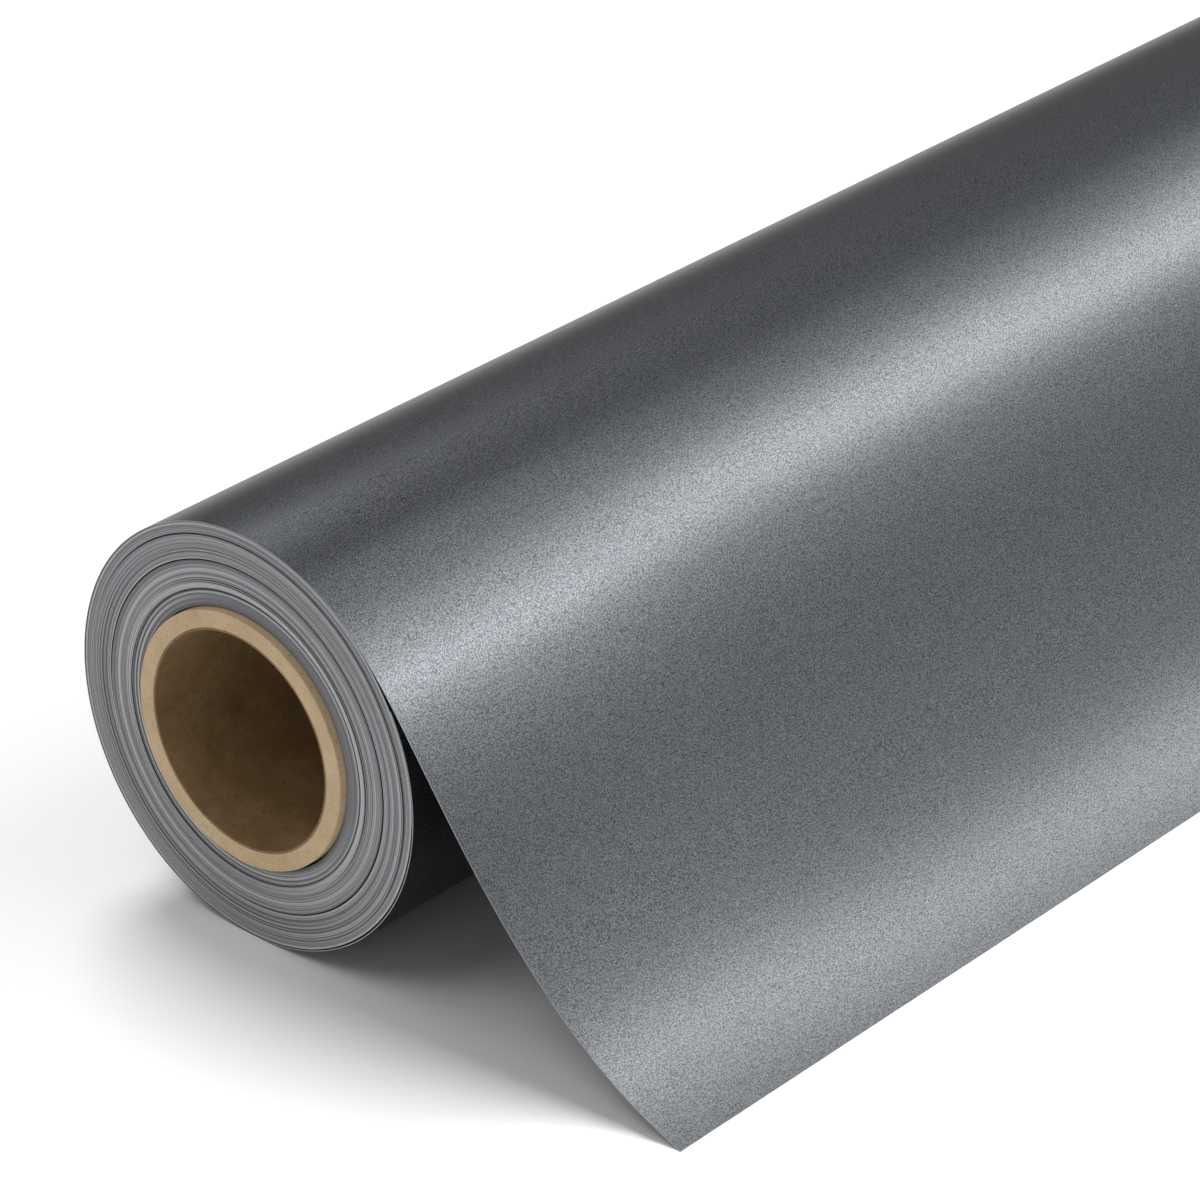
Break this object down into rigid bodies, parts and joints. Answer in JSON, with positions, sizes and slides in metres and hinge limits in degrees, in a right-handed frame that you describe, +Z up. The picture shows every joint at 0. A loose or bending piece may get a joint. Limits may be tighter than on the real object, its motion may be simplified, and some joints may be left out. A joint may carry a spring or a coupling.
{
  "type": "backdrop paper roll",
  "caption": "Roll of seamless grey backdrop paper wound on a board core, with its leader drawn off over the front and resting on the surface.",
  "frame": {"origin": "on the axis of the core's bore, at the middle of its length", "axes": "+X along the core, +Z up with the roll lying on its side, the leader falls towards -Y"},
  "size_m": [1.354, 0.192, 0.1107],
  "materials": {
    "core_liner": "brown kraft liner, lapped in a spiral",
    "core_board": "grey-brown core board, sawn edge",
    "core_kraft": "tan kraft outer ply",
    "adhesive_tape": "translucent double-sided tape",
    "paper_edge": "cut edges of the wound sheet, fine grain",
    "seamless_paper": "blue-grey paper with a soft metallic sheen and fine grain"
  },
  "bodies": {
    "outer_turn": {"paper_outer_turn": "seamless_paper"},
    "roll": {"core_inner_liner": "core_liner", "core_board_ply_1": "core_board", "core_board_ply_2": "core_board", "core_board_ply_3": "core_board", "core_board_ply_4": "core_board", "core_board_ply_5": "core_board", "core_board_ply_6": "core_board", "core_outer_ply": "core_kraft", "start_tape": "adhesive_tape", "wound_turns_1": "paper_edge", "wound_turns_2": "paper_edge", "wound_turns_3": "paper_edge", "wound_turns_4": "paper_edge", "wound_turns_5": "paper_edge", "wound_turns_6": "paper_edge", "wound_turns_7": "paper_edge"},
    "leader": {"paper_leader": "seamless_paper"}
  },
  "joints": [
    {"name": "roll_turn", "type": "hinge", "parent": "outer_turn", "child": "roll", "pos_m": [0, 0, 0], "axis": [1, 0, 0], "continuous": true},
    {"name": "leader_lift", "type": "hinge", "parent": "outer_turn", "child": "leader", "pos_m": [0, -0.04471, 0.03248], "axis": [-1, 0, 0], "range_deg": [0, 75]}
  ]
}
